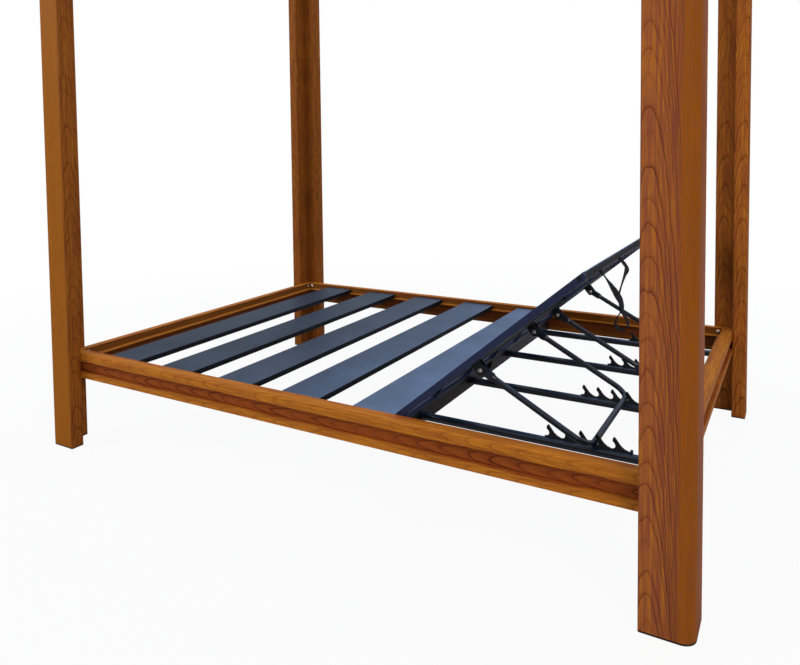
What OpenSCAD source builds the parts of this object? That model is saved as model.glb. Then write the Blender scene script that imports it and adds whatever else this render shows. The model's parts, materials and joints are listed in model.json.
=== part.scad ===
// Outdoor daybed: four corner posts carry a ring of mitred rails, five fixed
// slats and two backrests that tilt on one axle. Each backrest is propped by a
// bail whose bar drops into a pair of toothed racks.
// The bed stands on z = 0, centred on x and y, head end towards +x.

/* [Overall] */
// Length over the outer faces of the posts
bed_l = 2080; // [1980:10:2200]
// Depth over the outer faces of the posts
bed_d = 1490; // [1480:10:1600]
// Height from the floor to the top of the post caps
bed_h = 2150; // [1900:10:2400]

/* [Posts] */
// Width of each leg of the L section
leg_w = 113; // [100:1:130]
// Thickness of each leg, also the setback of the rails
leg_t = 46; // [40:1:56]
// Wall of the hollow post
post_wall = 2.5; // [2:0.5:4]
// Radius of the outer corner of the post
post_corner_r = 30; // [10:1:36]
// Radius of the other edges of the post
post_edge_r = 5; // [2:0.5:8]
// Thickness of the foot caps and top caps
cap_t = 4; // [3:0.5:8]
// Depth of the cap plug inside the post
cap_plug_h = 12; // [8:1:16]
// Clearance of the cap plug in the post
cap_fit = 0.3; // [0.2:0.1:0.6]

/* [Rails] */
// Height of the underside of the lower rails
rail_bottom = 235; // [180:5:320]
// Distance from the top of the posts down to the top rails
top_rail_drop = 8; // [2:1:40]
// Width of the rail body
rail_w = 36; // [32:1:42]
// Height of the rail
rail_h = 86; // [84:1:110]
// Wall of the rail
rail_wall = 2.2; // [1.8:0.1:3]
// Height of the proud bead at the top of the outer side
bead_h = 29; // [24:1:36]
// Radius of the top outer edge
bead_r = 7; // [3:0.5:10]
// Height of the bottom flange on the outer side
flange_h = 21; // [16:1:26]
// Depth of the cove between the bead and the flange
cove_depth = 11.5; // [6:0.5:14]
// Radius of the cove
cove_r = 45; // [36:1:80]
// Height of the middle of the cove above the flange
cove_rise = 7; // [5:0.5:9]
// Height and extra depth of the groove above the flange
groove = 2.5; // [1.5:0.5:4]
// How far the slat ledge stands in from the rail
ledge_w = 16; // [12:1:20]
// Thickness of the slat ledge
ledge_t = 3; // [2.5:0.5:5]
// Radius of the fillet above the ledge
ledge_fillet = 8; // [3:0.5:9]
// Distance from the top of the rail down to the ledge
ledge_drop = 27; // [22:1:34]

/* [Slats] */
// Number of fixed slats
slat_n = 5; // [3:1:5]
// Width of a slat
slat_w = 137; // [100:1:150]
// Thickness of a slat
slat_t = 18; // [14:0.5:22]
// Gap between the left rail and the first slat
slat_first = 115; // [60:1:130]
// Wall of a slat
slat_wall = 1.8; // [1.4:0.1:2.5]
// Radius of the long edges of a slat
slat_r = 3; // [1:0.5:5]
// Gap between a slat end and the rail
slat_gap = 1; // [0.5:0.5:2]
// Distance of the slat screws from the long edges of a slat
screw_inset = 28; // [20:1:40]
// Distance of the slat screws from the free edge of the ledge
screw_edge = 4.2; // [4:0.1:5]

/* [Support frame] */
// Width of the cross beam
beam_w = 40; // [30:1:50]
// Height of the cross beam
beam_h = 52; // [40:1:53]
// Wall of the cross beam
beam_wall = 2.5; // [2:0.5:4]
// Radius of the long edges of the cross beam
beam_r = 2; // [1:0.5:4]
// Diameter of the lengthwise support tubes
tube_d = 22; // [18:1:24]
// Wall of the support tubes
tube_wall = 2; // [1.5:0.5:3]
// Height of the middle of the tubes above the underside of the cross beam
tube_rise = 28.4; // [24:0.1:30]
// Distance of the outer support tubes from the long rails
tube_side = 156.5; // [140:0.5:170]
// Distance between the two support tubes under a backrest
tube_span = 340; // [320:1:350]
// Clearance between the cross beam and the underside of the rails
beam_rise = 1; // [0:0.5:2]

/* [Hinge] */
// Distance of the axle from the edge of the last slat
axle_gap = 11; // [10.5:0.5:16]
// Distance from the axle back to the near face of the cross beam
beam_back = 8; // [6:0.5:8]
// Height of the axle above the slat ledge
axle_lift = 0.5; // [0:0.5:3]
// Diameter of the axle
axle_d = 12; // [10:0.5:14]
// Outer diameter of the hinge tubes on the backrests
hinge_tube_d = 18; // [16:0.5:19]
// Radial clearance of the hinge pins
pin_fit = 0.1; // [0.05:0.05:0.2]
// Diameter of the sockets that hold the axle ends
socket_d = 20; // [18:0.5:24]
// Length of the axle end sockets
socket_l = 6; // [4:0.5:7]
// Thickness of the lug in the middle of the axle
lug_t = 5; // [4:0.5:6]
// Height of the lug's foot on the cross beam
lug_h = 35; // [25:1:45]

/* [Backrests] */
// Gap between the two backrests
panel_gap = 6; // [6:0.5:16]
// Gap between a backrest and the rail
panel_side_gap = 3; // [2:0.5:12]
// Distance from the axle to the free end of the backrest
panel_reach = 658; // [600:1:660]
// Gap between the end of a flat backrest and the rail at the head
head_gap = 1; // [1:0.5:10]
// Distance from the axle to the hinged end of the backrest
panel_setback = 17; // [16:0.5:20]
// Height of the backrest's upper face over the axle, square to the face
panel_lift = 21.3; // [20:0.1:24]
// Width of the side rails of the backrest
side_w = 20; // [16:1:26]
// Depth of the side rails of the backrest
side_h = 17; // [16:0.5:18]
// Wall of the side rails
side_wall = 1.8; // [1.4:0.1:2.5]
// Radius of the side rails' lower corner at the free end
side_end_r = 8; // [4:0.5:10]
// Thickness of the backrest slats
plank_t = 15; // [12:0.5:16]
// Length of the strap slots under the top slat
slot_l = 34; // [30:1:50]
// Width of the strap slots
slot_w = 4; // [3:0.5:6]
// Half the distance between the two strap slots
slot_half = 109.5; // [90:0.5:130]
// Distance of the strap slots from the free end
slot_back = 30.5; // [24:0.5:40]
// Diameter of the round plugs near the free end
plug_d = 11; // [8:0.5:12]
// Distance of the round plugs from the free end
plug_back = 14; // [12:0.5:20]
// Depth of the round plugs below the backrest's upper face
plug_drop = 7; // [6.5:0.5:8]
// Thickness of the gussets between the hinge tube and the backrest
gusset_t = 5; // [3:0.5:6]
// Length of the gussets along the backrest, from the axle
gusset_l = 50; // [30:1:60]
// How far the middle backrest slat starts ahead of the brackets
plank_lead = 13.5; // [8:0.5:16]

/* [Bails and racks] */
// Diameter of the bail bar
bail_d = 16; // [14:0.5:16]
// Distance from the bail pivot to the bar
bail_len = 320; // [310:1:330]
// Half the distance between the two arms of a bail
bail_half = 215; // [200:1:225]
// Bend radius of the bail at its middle line
bail_bend_r = 45; // [30:1:60]
// Distance from the axle to the bail pivot, along the backrest
pivot_s = 244.7; // [235:0.1:255]
// Depth of the bail pivot below the backrest's upper face
pivot_drop = 38.1; // [36:0.1:44]
// Diameter of the pivot screws
pivot_d = 8; // [6:0.5:9]
// Thickness of the flattened end of a bail arm
tongue_t = 12; // [10:0.5:14]
// Width of the flattened end of a bail arm
tongue_w = 20; // [18:0.5:22]
// Length of the flattened end, from the pivot
tongue_l = 36; // [30:1:60]
// Length of the taper from the flattened end to the round arm
neck_l = 8; // [4:1:14]
// Thickness of the bracket plates
ear_t = 3; // [2.5:0.5:4]
// Width of the bracket plates
ear_w = 27; // [24:1:36]
// How far the bracket plates reach beyond the pivot
ear_drop = 13; // [12:0.5:18]
// Number of teeth on a rack
tooth_n = 5; // [4:1:5]
// Spacing of the teeth
tooth_pitch = 41.25; // [40:0.25:42]
// Distance from the axle to the tip of the first tooth
rack_start = 363; // [355:1:370]
// Height of the tooth tips above the support tube
tooth_h = 33; // [30:0.5:36]
// Thickness of the rack plate
rack_t = 5; // [4:0.5:8]
// Running clearance between the bail bar and its notch
bar_fit = 0.3; // [0.2:0.1:0.6]
// Notch that holds the bars, counted from the hinge
rest_notch = 4; // [3:1:4]

/* [Fasteners] */
// Diameter of the rail bolts
bolt_d = 8; // [6:0.5:10]
// Diameter of the domed bolt heads
bolt_head_d = 13; // [12:0.5:16]
// Height of the domed heads of the bolts and pivot screws
head_t = 3.5; // [3:0.5:5]
// Width of the hexagon sockets over their corners
key_d = 5.2; // [4:0.1:7]
// Depth of the hexagon sockets
key_depth = 2; // [1.5:0.1:2.5]
// Outer diameter of the threaded inserts in the posts
insert_d = 11; // [10:0.5:13]
// Length of the threaded inserts
insert_l = 16; // [12:1:24]
// Distance of the rail bolts from the inner corner of the ring
bolt_in = 15; // [12:1:20]
// Depth of the rail bolts below the top of the rail
bolt_drop = 12; // [10:0.5:14]
// Diameter of the slat screws
screw_d = 4; // [3:0.5:5]
// Diameter of the heads of the slat screws
screw_head_d = 7; // [6:0.5:9]
// Length of the slat screws inside the slats
screw_tip = 6; // [4:0.5:9]
// Diameter of the heads of the pivot screws
pivot_head_d = 13; // [12:0.5:16]
// Clearance of the bolts and screws in their holes
hole_fit = 0.2; // [0.1:0.1:0.5]

/* [Straps] */
// Width of the pull strap's webbing
strap_w = 25; // [20:1:30]
// Thickness of the webbing
strap_t = 2; // [1.5:0.1:2.2]

/* [Hidden] */
$fn = 48;

// Small overshoot that makes a cut go clean through a face
cut = 1;

// Keeps the corner of an outline just off the circle that it meets
nudge = 0.03;

// Heights and distances that several parts share
post_top = bed_h - cap_t;
ledge_z = rail_bottom + rail_h - ledge_drop;
top_rail_bottom = post_top - top_rail_drop - rail_h;
inner_x = bed_l / 2 - leg_t - rail_w;
inner_y = bed_d / 2 - leg_t - rail_w;
bolt_z = rail_h - bolt_drop;
bolt_x = rail_w + bolt_in;

// Width and height of the collar that holds a threaded insert behind the post wall
insert_lip = 1.5;
insert_lip_h = 3;

// The hinge axle runs along y through this point
axle_x = inner_x - head_gap - panel_reach;
axle_z = ledge_z + axle_lift;
beam_x = axle_x - beam_back;
beam_bottom = rail_bottom + beam_rise;
tube_z = beam_bottom + tube_rise;
tube_top = tube_z + tube_d / 2;
tube_y_outer = inner_y - tube_side;
tube_y_inner = tube_y_outer - tube_span;

// The slats fill the bay between the left rail and the axle at an even pitch
slat_left = -inner_x + slat_first;
slat_pitch = (axle_x - axle_gap - slat_w - slat_left) / (slat_n - 1);
function slat_x(i) = slat_left + i * slat_pitch + slat_w / 2;
screw_half = slat_w / 2 - screw_inset;
screw_y = inner_y - ledge_w + screw_edge;

// Tooth of a rack: the radius of its tip, the run and fall of the slope behind
// it, and the run and rise of the toe at the end of that slope
tip_r = 2.8;
slope_run = 14;
slope_fall = 18.5;
toe_run = 23;
toe_rise = 3.5;

// The notch before a tooth: its radius, how far it lies behind the tip, its
// height over the tube, and how far its mouth goes round
notch_fit = 1;
notch_r = bail_d / 2 + notch_fit;
notch_back = 7.5;
notch_floor = 4;
notch_mouth = 40;

// How far the foot of a rack reaches down beside the tube
rack_root = 3;

// Middle of the bar in its notch
tip_z = tube_top + tooth_h;
function tip_x(i) = axle_x + rack_start + i * tooth_pitch;
bar_x = tip_x(rest_notch - 1) - notch_back;
bar_z = tube_top + notch_floor + bail_d / 2 + bar_fit;

// The triangle of axle, pivot and bar gives the tilt of the backrests
pivot_n = panel_lift - pivot_drop;
arm_ap = norm([pivot_s, pivot_n]);
arm_ab = norm([bar_x - axle_x, bar_z - axle_z]);
pivot_angle = acos((arm_ap * arm_ap + arm_ab * arm_ab - bail_len * bail_len) / (2 * arm_ap * arm_ab))
    + atan2(bar_z - axle_z, bar_x - axle_x);
tilt = pivot_angle - atan2(pivot_n, pivot_s);
pivot_x = axle_x + arm_ap * cos(pivot_angle);
pivot_z = axle_z + arm_ap * sin(pivot_angle);
bail_angle = atan2(pivot_z - bar_z, bar_x - pivot_x);
bail_y = (tube_y_inner + tube_y_outer) / 2;

// Backrest: across from the middle of the bed, and its own slats
panel_y0 = panel_gap / 2;
panel_y1 = inner_y - panel_side_gap;
panel_mid = (panel_y0 + panel_y1) / 2;
panel_under = panel_lift - plank_t;
plank_w = slat_w;
plank_s = [panel_setback, pivot_s - ear_w / 2 - plank_lead, panel_reach - plank_w];
tongue_gap = 0.3;

// Where the pull strap leaves the slots, and the route of its webbing as
// [out, across, down, turn]: out and down from the slots, across from the
// middle of the bed, and the turn of the webbing's width about the vertical
slot_s = panel_reach - slot_back;
strap_shift = 0.3;
strap_s = slot_s + strap_shift;
strap_n = panel_under + slat_wall / 2;
strap_x = axle_x + strap_s * cos(tilt) - strap_n * sin(tilt);
strap_z = axle_z + strap_s * sin(tilt) + strap_n * cos(tilt);
strap_route = [
    [0, slot_half, 0, 90], [6, slot_half, 7, 82], [13, 109, 17, 76], [20, 107, 28, 83],
    [27, 103, 40, 95], [33, 94, 54, 98], [36, 76, 68, 94], [37, 53, 82, 92], [37, 35, 96, 95],
    [37, 25, 110, 97], [37.5, 21, 122, 94], [43, 20, 132, 90], [49, 20, 143, 90], [51, 20, 154, 90],
    [47, 20, 165, 90], [35, 20, 171, 90], [23, 20, 165, 90], [19, 20, 154, 90], [21, 20, 143, 90],
    [27, 20, 132, 90], [32.5, 20, 122, 90], [32, 19, 110, 90], [28, 14, 94, 89], [25.5, 5, 78, 86],
    [26.5, -10, 62, 85], [27.5, -30, 46, 86], [27, -54, 34, 87], [25, -76, 26, 88],
    [20, -94, 20, 90], [12.5, -105, 13, 90], [5.5, -slot_half, 6.3, 90], [0, -slot_half, 0, 90]];

module flip_x(on) {
    if (on) mirror([1, 0, 0]) children();
    else children();
}

module flip_y(on) {
    if (on) mirror([0, 1, 0]) children();
    else children();
}

// A flat shape whose x and y become x and z, as deep as t along y from y = 0
module upright(t) {
    rotate([90, 0, 0]) translate([0, 0, -t]) linear_extrude(t) children();
}

module rounded_rect(w, h, r) {
    translate([r, 0]) square([w - 2 * r, h]);
    translate([0, r]) square([w, h - 2 * r]);
    for (x = [r, w - r], y = [r, h - r]) translate([x, y]) circle(r);
}

// Material outside a quarter round of radius r in the corner at 0, 0
module corner_waste(r) {
    difference() {
        translate([-cut, -cut]) square(r + cut);
        translate([r, r]) circle(r);
    }
}

// Fillet material in the inner corner at 0, 0
module fillet_fill(r) {
    difference() {
        square(r);
        translate([r, r]) circle(r);
    }
}

// Outline of the L section, drawn in by the given inset
module post_outline(inset) {
    difference() {
        translate([inset, inset]) {
            rounded_rect(leg_w - 2 * inset, leg_t - 2 * inset, post_edge_r - inset / 2);
            rounded_rect(leg_t - 2 * inset, leg_w - 2 * inset, post_edge_r - inset / 2);
        }
        translate([inset, inset]) corner_waste(post_corner_r - inset);
    }
}

// Moves a part drawn for the front left corner to any corner
module at_corner(right, rear) {
    translate([(right ? 1 : -1) * bed_l / 2, (rear ? 1 : -1) * bed_d / 2, 0])
        flip_x(right) flip_y(rear) children();
}

// Cylinders of radius r that go a depth h into the inner faces of both legs
module post_bores(z, r, h) {
    translate([leg_t + bolt_x, leg_t + cut, z]) rotate([90, 0, 0]) cylinder(h = h + cut, r = r);
    translate([leg_t + cut, leg_t + bolt_x, z]) rotate([0, -90, 0]) cylinder(h = h + cut, r = r);
}

module post(right, rear) {
    color("peru") at_corner(right, rear) difference() {
        translate([0, 0, cap_t]) linear_extrude(post_top - cap_t) difference() {
            post_outline(0);
            post_outline(post_wall);
        }
        for (z = [rail_bottom, top_rail_bottom])
            post_bores(z + bolt_z, insert_d / 2 + hole_fit, 2 * post_wall);
    }
}

// A plate under or over the post, with a plug that goes into its hollow
module cap_body() {
    linear_extrude(cap_t) post_outline(0);
    translate([0, 0, cap_t]) linear_extrude(cap_plug_h) difference() {
        post_outline(post_wall + cap_fit);
        post_outline(2 * post_wall + cap_fit);
    }
}

module foot_cap(right, rear) {
    color("black") at_corner(right, rear) cap_body();
}

module top_cap(right, rear) {
    color("peru") at_corner(right, rear) difference() {
        translate([0, 0, bed_h]) mirror([0, 0, 1]) cap_body();
        post_bores(top_rail_bottom + bolt_z, insert_d / 2 + insert_lip + hole_fit, insert_l);
    }
}

// Rail section: x goes in from the outer face, y goes up from the underside
module rail_section() {
    ledge_y = rail_h - ledge_drop;
    bead_y = rail_h - bead_h;
    cove_x = cove_depth - cove_r;
    cove_y = flange_h + cove_rise;
    web = rail_wall;
    difference() {
        union() {
            square([rail_w, rail_h]);
            translate([0, ledge_y - ledge_t]) square([rail_w + ledge_w, ledge_t]);
            translate([rail_w, ledge_y]) fillet_fill(ledge_fillet);
        }
        translate([0, rail_h]) mirror([0, 1]) corner_waste(bead_r);
        intersection() {
            translate([cove_x, cove_y]) circle(cove_r, $fn = 96);
            translate([-cut, flange_h]) square([rail_w, bead_y - flange_h]);
        }
        translate([-cut, flange_h]) square([cove_depth + groove + cut, groove]);
        translate([web, bead_y + web]) square([rail_w - 2 * web, bead_h - bead_r - web]);
        translate([bead_r, bead_y + web]) square([rail_w - bead_r - web, bead_h - 2 * web]);
        translate([cove_depth + groove + web, flange_h + web])
            square([rail_w - cove_depth - groove - 2 * web, bead_y - flange_h - web]);
        translate([web, web]) square([rail_w - 2 * web, flange_h - 2 * web]);
    }
}

// Straight rail with mitred ends: x along, y in from the outer face, z up
module rail_bar(l) {
    reach = rail_w + ledge_w;
    intersection() {
        rotate([90, 0, 90]) linear_extrude(l) rail_section();
        translate([0, 0, -cut]) linear_extrude(rail_h + 2 * cut)
            polygon([[0, 0], [l, 0], [l - reach, reach], [reach, reach]]);
    }
}

function ring_l(i) = (i % 2 == 0 ? bed_l : bed_d) - 2 * leg_t;
function ring_half(i) = (i % 2 == 0 ? bed_d : bed_l) / 2 - leg_t;

// Side i of a ring: 0 front, 1 right, 2 rear, 3 left
module ring_side(i, z) {
    rotate([0, 0, 90 * i]) translate([-ring_l(i) / 2, -ring_half(i), z]) children();
}

module rail_holes(i) {
    for (x = [bolt_x, ring_l(i) - bolt_x]) translate([x, -cut, bolt_z]) rotate([-90, 0, 0])
        cylinder(h = rail_w + 2 * cut, r = bolt_d / 2 + hole_fit);
}

module lower_rail(i) {
    color("chocolate") difference() {
        ring_side(i, rail_bottom) difference() {
            rail_bar(ring_l(i));
            rail_holes(i);
        }
        if (i % 2 == 0) ledge_cuts(i == 2 ? 1 : -1);
    }
}

// Screw holes in the ledge, and the notch that clears the axle's socket
module ledge_cuts(side) {
    for (k = [0 : slat_n - 1], e = [-1, 1])
        translate([slat_x(k) + e * screw_half, side * screw_y, ledge_z - ledge_t - cut])
            cylinder(h = ledge_t + 2 * cut, r = screw_d / 2 + hole_fit);
    socket_clear = 2;
    notch_w = socket_d + 2 * socket_clear;
    translate([axle_x - notch_w / 2, side > 0 ? inner_y - ledge_w - cut : -inner_y, axle_z - notch_w / 2])
        cube([notch_w, ledge_w + cut, notch_w]);
}

module top_rail(i) {
    color("chocolate") ring_side(i, top_rail_bottom) difference() {
        rail_bar(ring_l(i));
        rail_holes(i);
    }
}

// Domed head with a hexagon socket, on a shank that points down from z = 0
module domed_bolt(d, head_d, l) {
    difference() {
        union() {
            intersection() {
                cylinder(h = head_t, d = head_d);
                translate([0, 0, head_t - head_d]) sphere(head_d);
            }
            translate([0, 0, -l]) cylinder(h = l + cut, d = d);
        }
        translate([0, 0, head_t - key_depth]) cylinder(h = key_depth + cut, d = key_d, $fn = 6);
    }
}

// Puts a fastener at both ends of each rail of a ring, at the rail's outer face
module at_ring_bolts(z) {
    for (i = [0 : 3]) ring_side(i, z)
        for (x = [bolt_x, ring_l(i) - bolt_x]) translate([x, 0, bolt_z]) rotate([-90, 0, 0]) children();
}

module ring_bolts(z) {
    color("silver") at_ring_bolts(z) translate([0, 0, rail_w])
        domed_bolt(bolt_d, bolt_head_d, rail_w + insert_l);
}

// Threaded sleeves that the bolts screw into, upset behind the wall of the post
module ring_inserts(z) {
    color("silver") at_ring_bolts(z) mirror([0, 0, 1]) difference() {
        union() {
            cylinder(h = insert_l, d = insert_d);
            translate([0, 0, post_wall]) cylinder(h = insert_lip_h, d = insert_d + 2 * insert_lip);
        }
        translate([0, 0, -cut]) cylinder(h = insert_l + 2 * cut, d = bolt_d + 2 * hole_fit);
    }
}

module rail_bolts() {
    ring_bolts(rail_bottom);
}

module top_rail_bolts() {
    ring_bolts(top_rail_bottom);
}

module rail_inserts() {
    ring_inserts(rail_bottom);
}

module top_rail_inserts() {
    ring_inserts(top_rail_bottom);
}

// Hollow plank section of width w and thickness t with three inner webs
module plank_section(w, t, wall) {
    bays = 4;
    bay = (w - (bays + 1) * wall) / bays;
    difference() {
        rounded_rect(w, t, slat_r);
        for (i = [0 : bays - 1]) translate([wall + i * (bay + wall), wall])
            rounded_rect(bay, t - 2 * wall, min(slat_r, t / 2 - wall) / 2);
    }
}

module slat(i) {
    l = 2 * (inner_y - slat_gap);
    bevel = ledge_fillet * sqrt(2);
    color("slategray") translate([slat_x(i) - slat_w / 2, 0, ledge_z]) difference() {
        translate([0, -l / 2, 0]) upright(l) plank_section(slat_w, slat_t, slat_wall);
        for (side = [-1, 1]) translate([slat_w / 2, side * l / 2, 0]) rotate([45, 0, 0])
            cube([slat_w + 2 * cut, bevel, bevel], center = true);
        for (side = [-1, 1], e = [-1, 1])
            translate([slat_w / 2 + e * screw_half, side * screw_y, -cut])
                cylinder(h = slat_wall + 2 * cut, r = screw_d / 2 + hole_fit);
    }
}

module slat_screws() {
    screw_head_t = 2;
    color("silver") for (k = [0 : slat_n - 1], e = [-1, 1], side = [-1, 1])
        translate([slat_x(k) + e * screw_half, side * screw_y, ledge_z - ledge_t]) {
            cylinder(h = ledge_t + slat_wall + screw_tip, d = screw_d);
            translate([0, 0, -screw_head_t]) cylinder(h = screw_head_t, d1 = screw_d, d2 = screw_head_d);
        }
}

module cross_beam() {
    l = 2 * inner_y;
    color("dimgray") translate([beam_x - beam_w, -inner_y, beam_bottom]) upright(l) difference() {
        rounded_rect(beam_w, beam_h, beam_r);
        translate([beam_wall, beam_wall]) square([beam_w - 2 * beam_wall, beam_h - 2 * beam_wall]);
    }
}

// Round bar from the cross beam to the rail at the head, longer by over at each end
module support_bar(y, d, over = 0) {
    translate([beam_x - over, y, tube_z]) rotate([0, 90, 0])
        cylinder(h = inner_x - beam_x + 2 * over, d = d);
}

module support_tube(y) {
    color("midnightblue") difference() {
        support_bar(y, tube_d);
        support_bar(y, tube_d - 2 * tube_wall, cut);
    }
}

// Point at angle a on a circle of radius r about c
function on_circle(c, r, a) = c + r * [cos(a), sin(a)];

// One hooked tooth with the run up to the next notch, tip at 0, 0
module tooth() {
    foot_y = -tooth_h - rack_root;
    floor_y = notch_floor - tooth_h;
    eye = [-notch_back, floor_y + notch_r];
    tip = [-tip_r / 2, -tip_r];
    next_x = tooth_pitch - notch_back;
    translate(tip) circle(tip_r);
    polygon([[-notch_back, foot_y], eye, on_circle(eye, notch_r + nudge, notch_mouth),
        [-2, -3] * tip_r, on_circle(tip, tip_r - nudge, 155), on_circle(tip, tip_r + nudge, 30),
        [slope_run, -slope_fall],
        [toe_run, floor_y + toe_rise], [next_x, floor_y], [next_x, foot_y]]);
}

// Toothed plate that stands on a support tube, with an end stop
module rack(y) {
    heel_w = 5;
    stop_w = 10;
    stop_t = 6;
    stop_h = 8.6;
    end_x = tip_x(tooth_n) - notch_back;
    color("black") difference() {
        union() {
            translate([0, y - rack_t / 2, 0]) upright(rack_t) difference() {
                union() {
                    for (i = [0 : tooth_n - 1]) translate([tip_x(i), tip_z]) tooth();
                    for (x = [tip_x(0) - notch_back - heel_w / 2, end_x - cut])
                        translate([x, tube_top - rack_root]) square([heel_w, notch_floor + rack_root]);
                }
                for (i = [0 : tooth_n - 1])
                    translate([tip_x(i) - notch_back, tube_top + notch_floor + notch_r]) circle(notch_r);
            }
            translate([end_x + stop_t / 2, y - stop_w / 2, tube_z])
                cube([stop_t, stop_w, tube_top - tube_z + stop_h]);
        }
        support_bar(y, tube_d);
    }
}

module hinge_axle() {
    end_gap = 0.5;
    l = 2 * (inner_y - end_gap);
    color("silver") translate([axle_x, l / 2, axle_z]) rotate([90, 0, 0]) cylinder(h = l, d = axle_d);
}

module axle_sockets() {
    hub_wall = 2.5;
    color("silver") for (rear = [false, true]) flip_y(rear)
        translate([axle_x, -inner_y, axle_z]) rotate([-90, 0, 0]) difference() {
            union() {
                cylinder(h = socket_l / 2, d = socket_d);
                cylinder(h = socket_l, d = axle_d + 2 * hub_wall);
            }
            translate([0, 0, -cut]) cylinder(h = socket_l + 2 * cut, d = axle_d + 2 * pin_fit);
        }
}

// Plate on the face of the cross beam that holds the middle of the axle
module axle_lug() {
    lug_r = hinge_tube_d / 2;
    lug_inset = 3;
    lug_top = beam_bottom + beam_h - lug_inset;
    eye = [axle_x, axle_z];
    color("dimgray") translate([0, -lug_t / 2, 0]) difference() {
        union() {
            translate([axle_x, 0, axle_z]) rotate([-90, 0, 0]) cylinder(h = lug_t, r = lug_r);
            upright(lug_t) polygon([[beam_x, lug_top - lug_h], [beam_x, lug_top], on_circle(eye, lug_r - nudge, 160),
                eye, on_circle(eye, lug_r - nudge, -20), [beam_x + lug_r, lug_top - lug_h * 2 / 3]]);
        }
        translate([axle_x, -cut, axle_z]) rotate([-90, 0, 0])
            cylinder(h = lug_t + 2 * cut, r = axle_d / 2 + pin_fit);
    }
}

// Puts a backrest part in place: x along the backrest from the axle, y
// across from the middle of the bed, z square to it
module on_panel(rear) {
    flip_y(!rear) translate([axle_x, 0, axle_z]) rotate([0, -tilt, 0]) children();
}

module side_rail() {
    l = panel_reach - panel_setback;
    low = panel_lift - side_h;
    difference() {
        upright(side_w) difference() {
            translate([panel_setback, low]) square([l, side_h]);
            translate([panel_reach, low]) mirror([1, 0]) corner_waste(side_end_r);
        }
        translate([panel_setback - cut, side_wall, low + side_wall])
            cube([l - side_end_r, side_w - 2 * side_wall, side_h - 2 * side_wall]);
        translate([panel_reach - plug_back, -cut, panel_lift - plug_drop]) rotate([-90, 0, 0])
            cylinder(h = 2 * side_wall + cut, d = plug_d);
    }
}

// Web from the hinge tube to the face at height low on the backrest
module gusset(low) {
    r = hinge_tube_d / 2 - pin_fit;
    lip = 1.5;
    upright(gusset_t) polygon([[0, -r], [0, r], [panel_setback, panel_lift - gusset_t], [panel_setback, low],
        [gusset_l, low], [gusset_l - 2 * lip, low - lip]]);
}

// Hinge tube, side rails and the gussets that join them
module panel_frame(rear) {
    r = hinge_tube_d / 2;
    end_gap = 3;
    span = panel_y1 - panel_y0;
    tube_l = span - end_gap;
    color("midnightblue") on_panel(rear) difference() {
        union() {
            translate([0, panel_y0, 0]) side_rail();
            translate([0, panel_y1, 0]) mirror([0, 1, 0]) side_rail();
            translate([0, panel_y0 + tube_l, 0]) rotate([90, 0, 0]) cylinder(h = tube_l, r = r);
            for (y = [0, tube_l - gusset_t]) translate([0, panel_y0 + y, 0]) gusset(panel_lift - side_h);
            for (y = [1, 2] * span / 3) translate([0, panel_y0 + y, 0]) gusset(panel_under);
        }
        translate([0, panel_y1, 0]) rotate([90, 0, 0]) cylinder(h = span, r = axle_d / 2 + pin_fit);
    }
}

// Backrest slat k, counted from the hinge; the last one has the strap slots
module panel_plank(rear, k) {
    y0 = panel_y0 + side_w;
    l = panel_y1 - panel_y0 - 2 * side_w;
    color("slategray") on_panel(rear) difference() {
        translate([plank_s[k], y0, panel_under]) upright(l) plank_section(plank_w, plank_t, slat_wall);
        if (k == 2) for (e = [-1, 1])
            translate([slot_s - slot_w / 2, panel_mid + e * slot_half - slot_l / 2, panel_under - cut])
                cube([slot_w, slot_l, slat_wall + 2 * cut]);
    }
}

module bracket() {
    foot_n = panel_under;
    ear_low = pivot_n - ear_drop;
    ear_r = 9;
    gap = tongue_t + 2 * tongue_gap;
    difference() {
        union() {
            for (y = [-gap / 2 - ear_t, gap / 2]) translate([pivot_s - ear_w / 2, y, 0]) upright(ear_t)
                difference() {
                    translate([0, ear_low]) square([ear_w, foot_n - ear_low]);
                    translate([0, ear_low]) corner_waste(ear_r);
                    translate([ear_w, ear_low]) mirror([1, 0]) corner_waste(ear_r);
                }
            translate([pivot_s - ear_w / 2, -gap / 2 - ear_t, foot_n - ear_t])
                cube([ear_w, gap + 2 * ear_t, ear_t]);
        }
        translate([pivot_s, gap, pivot_n]) rotate([90, 0, 0])
            cylinder(h = 2 * gap, r = pivot_d / 2 + pin_fit);
    }
}

module panel_brackets(rear) {
    color("black") on_panel(rear)
        for (e = [-1, 1]) translate([0, bail_y + e * bail_half, 0]) bracket();
}

// Screw with a low domed head at each end and a cross recess
module pivot_screw() {
    grip = tongue_t + 2 * tongue_gap + 2 * ear_t;
    cross_l = 7;
    cross_w = 1.4;
    cross_depth = 1.5;
    rotate([90, 0, 0]) {
        translate([0, 0, -grip / 2 - cut]) cylinder(h = grip + 2 * cut, d = pivot_d);
        for (up = [0, 1]) mirror([0, 0, up]) translate([0, 0, grip / 2]) difference() {
            intersection() {
                cylinder(h = head_t, d = pivot_head_d);
                translate([0, 0, head_t - pivot_head_d]) sphere(pivot_head_d);
            }
            for (a = [0, 90]) rotate([0, 0, a])
                translate([-cross_l / 2, -cross_w / 2, head_t - cross_depth])
                    cube([cross_l, cross_w, cross_depth + cut]);
        }
    }
}

module pivot_screws(rear) {
    color("silver") on_panel(rear)
        for (e = [-1, 1]) translate([pivot_s, bail_y + e * bail_half, pivot_n]) pivot_screw();
}

module panel_plugs(rear) {
    plug_t = 2.4;
    plug_lip = 0.6;
    color("black") on_panel(rear) for (y = [panel_y0 + plug_lip, panel_y1 - plug_lip - plug_t])
        translate([panel_reach - plug_back, y, panel_lift - plug_drop]) rotate([-90, 0, 0])
            cylinder(h = plug_t, d = plug_d - 2 * pin_fit);
}

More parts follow.
